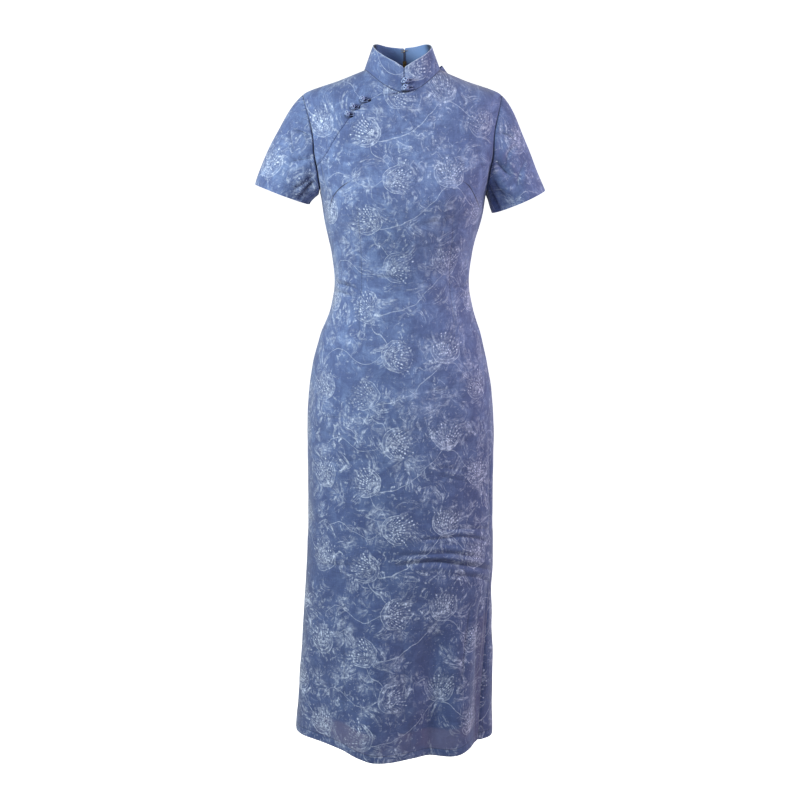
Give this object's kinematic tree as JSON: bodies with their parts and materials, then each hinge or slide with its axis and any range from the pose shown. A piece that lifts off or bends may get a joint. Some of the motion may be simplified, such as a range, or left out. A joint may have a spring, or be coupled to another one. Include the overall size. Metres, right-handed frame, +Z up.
{
  "type": "cheongsam dress",
  "caption": "Long fitted dress with a stand collar, short set-in sleeves, a curved front opening with knot buttons, and side slits.",
  "frame": {"origin": "on the dress's centre line, in the plane of the side seams, at the height of the side neck points, where the wearer's shoulders hold it", "axes": "+Z up the dress, -Y the way the wearer faces, +X the wearer's left"},
  "size_m": [0.4941, 0.2622, 1.2274],
  "materials": {
    "dress_cloth": "matt printed cloth",
    "lining": "smooth lining cloth",
    "cord": "rolled cloth cord",
    "zip_tape": "woven tape",
    "brass": "polished brass"
  },
  "bodies": {
    "dress": {"front_main": "dress_cloth", "front_shoulder": "dress_cloth", "back_left": "dress_cloth", "back_right": "dress_cloth", "sleeve_left": "dress_cloth", "sleeve_right": "dress_cloth", "collar_left": "dress_cloth", "collar_right": "dress_cloth", "collar_lining_left": "lining", "collar_lining_right": "lining", "knot_button_1": "cord", "knot_button_2": "cord", "knot_button_3": "cord", "knot_button_4": "cord", "knot_button_5": "cord", "button_loop_1": "cord", "button_loop_2": "cord", "button_loop_3": "cord", "button_loop_4": "cord", "button_loop_5": "cord", "zip_tape": "zip_tape", "zip_slider": "brass", "collar_hook": "brass", "collar_eye": "brass"},
    "pull_tab": {"zip_pull_tab": "brass"}
  },
  "joints": [
    {"name": "pull_tab_swing", "type": "hinge", "parent": "dress", "child": "pull_tab", "pos_m": [0.00732, 0.05474, 0.01231], "axis": [0.9925, -0.1092, 0.0555], "range_deg": [0, 160]}
  ]
}
